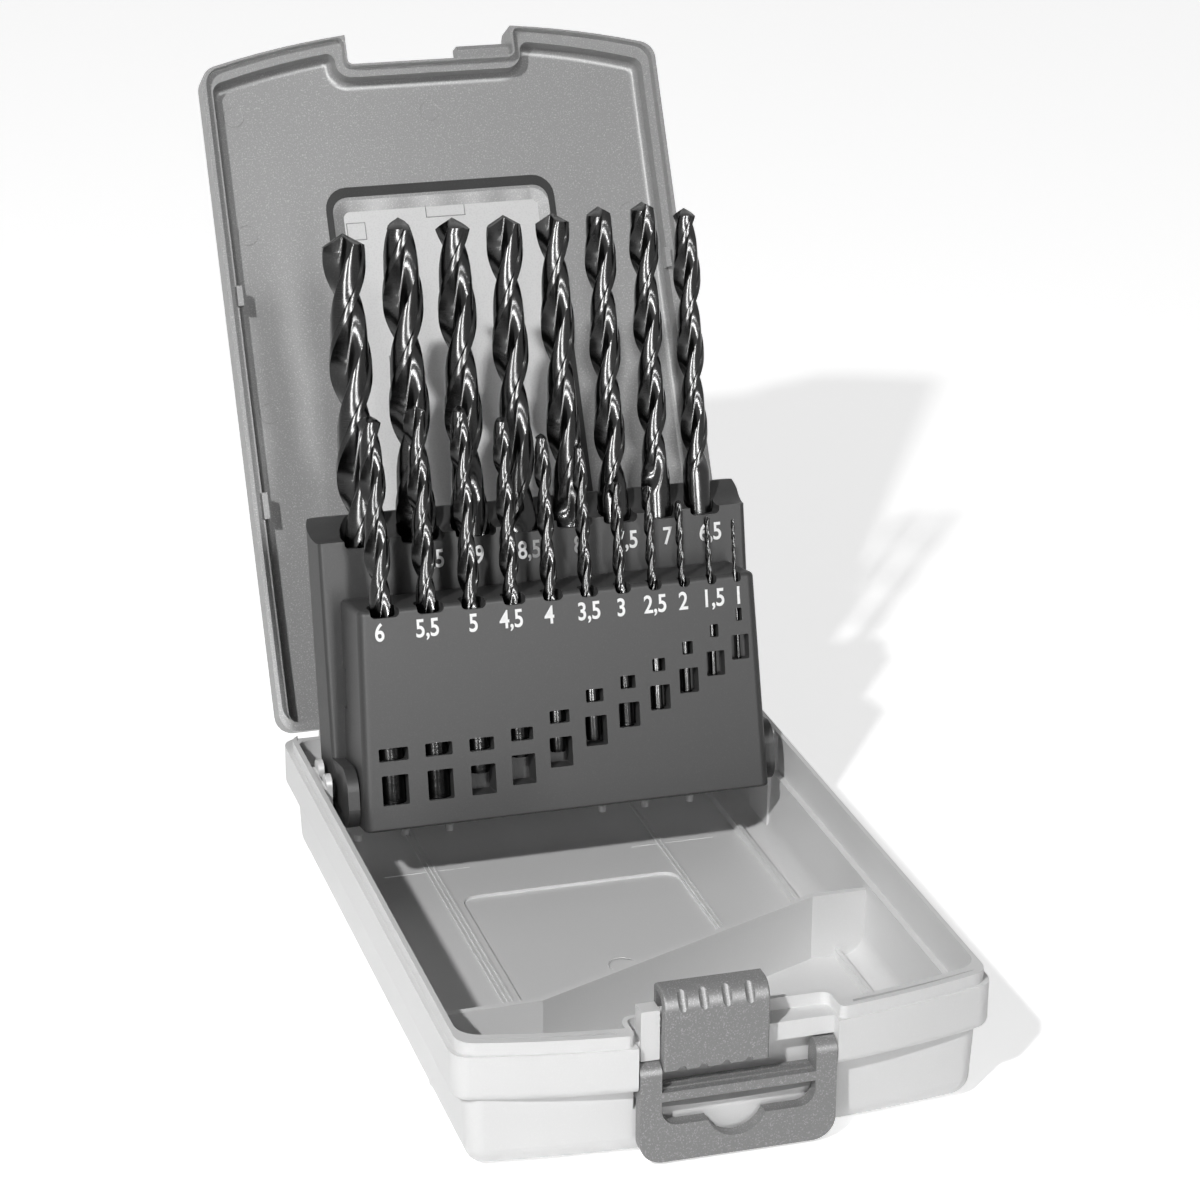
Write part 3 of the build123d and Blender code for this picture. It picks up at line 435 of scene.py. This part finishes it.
def twist_bit(master, size, length, flutes, lead, turn):
    """A copy of the straight bit, stretched to its real lengths, twisted, and stood in its socket."""
    name = f"{size:g}".replace(".", "_") + "mm"
    low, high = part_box("drill_bit_" + name)
    bit = master.copy()
    bit.data = master.data.copy()
    bit.name = "ground_bit_" + name
    bpy.context.collection.objects.link(bit)
    radius, length, flutes = size / 2 * MM, length * MM, flutes * MM
    fading = RUN_OUT_LENGTH * size * MM
    shank = length - flutes
    full = flutes - fading - radius * POINT_RISE
    only(bit)
    pick(bit, lambda co: True)
    stretch(radius, 1, 0)
    # each stretch between two rings, from the point down, takes its length and lifts what is above it
    edge = 5 * NEAR
    pick(bit, lambda co: 2 - edge < co.z < 3 - edge)
    stretch(1, full, 2)
    pick(bit, lambda co: co.z > 3 - edge)
    stretch(1, radius, 3)
    lift(full - 1)
    pick(bit, lambda co: 1 - edge < co.z < 2 - edge)
    stretch(1, fading, 1)
    pick(bit, lambda co: co.z > 2 - edge)
    lift(fading - 1)
    pick(bit, lambda co: co.z < 1 - edge)
    stretch(1, shank, 0)
    pick(bit, lambda co: co.z > 1 - edge)
    lift(shank - 1)
    bpy.ops.object.mode_set(mode="OBJECT")
    twist = bit.modifiers.new("twist", "SIMPLE_DEFORM")
    twist.deform_method = "TWIST"
    twist.deform_axis = "Z"
    twist.limits = (shank / length, 1)
    twist.angle = 2 * pi * flutes / (lead * MM)
    bpy.ops.object.modifier_apply(modifier="twist")
    # the foot's middle, from the box of the leaning solid
    foot = Vector(
        ((low[0] + high[0]) / 2, low[1] + radius * cos(LEAN), low[2] + radius * sin(LEAN))
    )
    bit.matrix_world = (
        Matrix.Translation(foot)
        @ Matrix.Rotation(-LEAN, 4, "X")
        @ Matrix.Rotation(radians(turn) - 2 * pi * length / (lead * MM), 4, "Z")
    )
    settle(bit)
    smooth(bit, 32)
    finish_with(bit, dark_steel)
    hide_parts("drill_bit_" + name)
    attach(bit, "bit_" + name)


straight_bit = master_bit()
for bit_sizes in BITS:
    twist_bit(straight_bit, *bit_sizes)
bpy.data.objects.remove(straight_bit)

# ---------------------------------------------------------------- printed sizes
FIGURE_SIZE = 5.9
FIGURE_WIDTH = 0.8                             # of the font's own
FRONT_ROW = (19.83, 40.1)                      # forward and up on the holder
REAR_ROW = (1.33, 52.7)


def printed_size(text, x, forward, up):
    """A white size figure on one of the holder's faces."""
    bpy.ops.object.text_add()
    figure = bpy.context.active_object
    figure.name = "printed_size_" + text.replace(",", "_")
    figure.data.body = text
    figure.data.size = FIGURE_SIZE
    figure.data.align_x = "CENTER"
    figure.data.align_y = "CENTER"
    figure.data.offset = 0.1
    figure.data.extrude = 0.02
    bpy.ops.object.convert(target="MESH")
    figure = bpy.context.active_object
    across = Vector((FIGURE_WIDTH * MM, 0, 0))
    rise = on_holder(0, 0, 1) - HOLDER_PIVOT
    out = on_holder(0, 1, 0) - HOLDER_PIVOT
    turn = Matrix((across, rise, out)).transposed().to_4x4()
    figure.matrix_world = Matrix.Translation(on_holder(x, forward, up)) @ turn
    settle(figure)
    finish_with(figure, white_print)
    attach(figure, "holder")


for text, x in (
    ("6", -43.1), ("5,5", -31.8), ("5", -20.9), ("4,5", -11.8), ("4", -2.7), ("3,5", 6.9),
    ("3", 14.7), ("2,5", 23.0), ("2", 29.9), ("1,5", 37.3), ("1", 43.5),
):
    printed_size(text, x, *FRONT_ROW)
for text, x in (
    ("10", -38.6), ("9,5", -25.2), ("9", -13.9), ("8,5", -1.7),
    ("8", 10.4), ("7,5", 22.3), ("7", 32.5), ("6,5", 43.3),
):
    printed_size(text, x, *REAR_ROW)


# ---------------------------------------------------------------- moulded marks
def moulded_line(name, points, width, body, material, closed=True):
    """A fine raised line along these points."""
    curve = bpy.data.curves.new(name, "CURVE")
    curve.dimensions = "3D"
    curve.bevel_depth = width / 2 * MM
    curve.bevel_resolution = 1
    curve.use_fill_caps = not closed
    spline = curve.splines.new("POLY")
    spline.points.add(len(points) - 1)
    for spot, point in zip(spline.points, points):
        spot.co = (*point, 1)
    spline.use_cyclic_u = closed
    line = bpy.data.objects.new(name, curve)
    bpy.context.collection.objects.link(line)
    only(line)
    bpy.ops.object.convert(target="MESH")
    line = bpy.context.active_object
    smooth(line)
    finish_with(line, material)
    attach(line, body)


def ring_on(place, radius, points=24):
    """Points round a circle, where place(across, up) puts them."""
    turns = [2 * pi * step / points for step in range(points)]
    return [place(radius * cos(turn), radius * sin(turn)) for turn in turns]


ejector_marks = ((-50, 155), (-50, 125), (-50, 80), (49, 124), (0, 153.5))
for number, (x, along) in enumerate(ejector_marks, 1):
    ring = ring_on(lambda across, up: on_lid(x + across, along + up, LID_INNER_FACE), 2.5)
    moulded_line(f"lid_ejector_mark_{number}", ring, 0.16, "lid", grey_lid_plastic)

gate_y = -7
ring = ring_on(lambda across, up: Vector((across, gate_y + up, TRAY_FLOOR)) * MM, 3.2)
moulded_line("tray_gate_mark", ring, 0.16, "tray", pale_tray_plastic)

floor_line_y = 51
for side, outer, inner in (("left", -41, -20.3), ("right", 41, 20.3)):
    ends = [Vector((x, floor_line_y, TRAY_FLOOR)) * MM for x in (outer, inner)]
    moulded_line("tray_floor_line_" + side, ends, 0.14, "tray", pale_tray_plastic, closed=False)

for place, left, right, low, high in (
    ("top", -4, 6, 126.5, 131.5),
    ("left", -24.7, -20.0, 122.0, 126.3),
    ("low", -18.0, -14.6, 82.5, 92.0),
):
    corners = ((left, low), (right, low), (right, high), (left, high))
    outline = [on_lid(x, along, LABEL_INNER_FACE) for x, along in corners]
    moulded_line("label_clip_outline_" + place, outline, 0.36, "lid", grey_lid_plastic)


def label_window_painted_shade():
    """A dark frame round the label window, on the lid's inner face, wider at its far end: painted shade
    of the window's recessed bevel, darkest where that bevel faces away from the light.
    """
    width, near, far = 59.2, 43.0, 135.3       # from the hinge, along the lid
    # the painted shade band, wider at the far end, where the window's edge is most shaded
    band, far_band = 1.6, 2.5
    radius = 5.5
    sunk, proud = 0.05, 0.2                    # into the inner face, and out of it
    bpy.ops.object.select_all(action="DESELECT")
    bpy.ops.mesh.primitive_plane_add(
        size=1, location=(0, -(near + far) / 2, LID_INNER_FACE + sunk - HINGE_HEIGHT)
    )
    border = bpy.context.active_object
    border.name = "label_window_painted_shade"
    border.scale = (width, far - near, 1)
    settle(border)
    pick(border, lambda co: True)
    bpy.ops.mesh.bevel(offset=radius, segments=6, affect="VERTICES")
    bpy.ops.mesh.select_all(action="SELECT")
    bpy.ops.mesh.inset(thickness=band)
    bpy.ops.transform.translate(value=(0, far_band - band, 0))
    bpy.ops.mesh.delete(type="FACE")
    bpy.ops.mesh.select_all(action="SELECT")
    raise_up(-sunk - proud)
    close_up()
    border.matrix_world = (
        Matrix.Translation(HINGE) @ Matrix.Rotation(-OPEN, 4, "X") @ Matrix.Scale(MM, 4)
    )
    settle(border)
    finish_with(border, painted_shade_border_plastic)
    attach(border, "lid")


# a flat dark frame of painted shade round the label window
label_window_painted_shade()


# ---------------------------------------------------------------- studio
def seen_ray(tree):
    """One for rays that the camera, a gloss or a clear piece shows, else nothing."""
    path = add_node(tree, "ShaderNodeLightPath")
    seen = path.outputs["Is Camera Ray"]
    for kind in ("Is Glossy Ray", "Is Transmission Ray"):
        either = add_node(tree, "ShaderNodeMath", operation="ADD", use_clamp=True)
        tree.links.new(seen, either.inputs[0])
        tree.links.new(path.outputs[kind], either.inputs[1])
        seen = either.outputs[0]
    return seen


bpy.ops.object.select_all(action="DESELECT")
bpy.ops.mesh.primitive_plane_add(size=12, location=(0, 0, -0.2 * MM))
floor = bpy.context.active_object
floor.name = "studio_floor"
floor_paint, tree, shader = new_material("studio floor")
shader.inputs["Base Color"].default_value = grey(0.86)
shader.inputs["Roughness"].default_value = 0.7
shader.inputs["Emission Color"].default_value = grey(1)
glow = add_node(tree, "ShaderNodeMath", ((1, 0.62),), operation="MULTIPLY")
tree.links.new(seen_ray(tree), glow.inputs[0])
tree.links.new(glow.outputs[0], shader.inputs["Emission Strength"])
finish_with(floor, floor_paint)

world = bpy.data.worlds.new("studio")
bpy.context.scene.world = world
world.use_nodes = True
tree = world.node_tree
tree.nodes.clear()
output = add_node(tree, "ShaderNodeOutputWorld")
fill = add_node(tree, "ShaderNodeBackground", (("Color", grey(1)), ("Strength", 0.16)))
shown = add_node(tree, "ShaderNodeBackground", (("Color", grey(1)), ("Strength", 1.0)))
mix = add_node(tree, "ShaderNodeMixShader")
tree.links.new(seen_ray(tree), mix.inputs["Fac"])
tree.links.new(fill.outputs[0], mix.inputs[1])
tree.links.new(shown.outputs[0], mix.inputs[2])
tree.links.new(mix.outputs[0], output.inputs["Surface"])

LAMP_AIM = Vector((0, 0.02, 0.08))


def soft_box(name, place, width, height, power):
    """A rectangular lamp, in metres and watts, aimed at the case."""
    light = bpy.data.lights.new(name, "AREA")
    light.shape = "RECTANGLE"
    light.size = width
    light.size_y = height
    light.energy = power
    lamp = bpy.data.objects.new(name, light)
    bpy.context.collection.objects.link(lamp)
    lamp.location = place
    lamp.rotation_mode = "QUATERNION"
    lamp.rotation_quaternion = (LAMP_AIM - Vector(place)).to_track_quat("-Z", "Y")
    return lamp


soft_box("key lamp", (-0.76, -0.88, 0.98), 0.05, 0.05, 17)
for side, place in (("left", (-0.72, -1.25, 0.50)), ("right", (0.16, -1.45, 0.50))):
    # a tall strip that gives the ground bits their streaks, and lights nothing else
    strip = soft_box(side + " strip", place, 0.14, 1.0, 42)
    strip.visible_diffuse = False

camera_data = bpy.data.cameras.new("camera")
camera_data.lens = 105.87
camera_data.sensor_width = 36
camera = bpy.data.objects.new("camera", camera_data)
bpy.context.collection.objects.link(camera)
camera.location = (-0.212651, -0.686536, 0.37141)
camera.rotation_mode = "QUATERNION"
sight = Vector((0.27105, 0.89039, -0.36571))
roll = Quaternion((0, 0, 1), radians(0.423))
camera.rotation_quaternion = sight.to_track_quat("-Z", "Y") @ roll
bpy.context.scene.camera = camera
bpy.context.scene.view_settings.view_transform = "Standard"
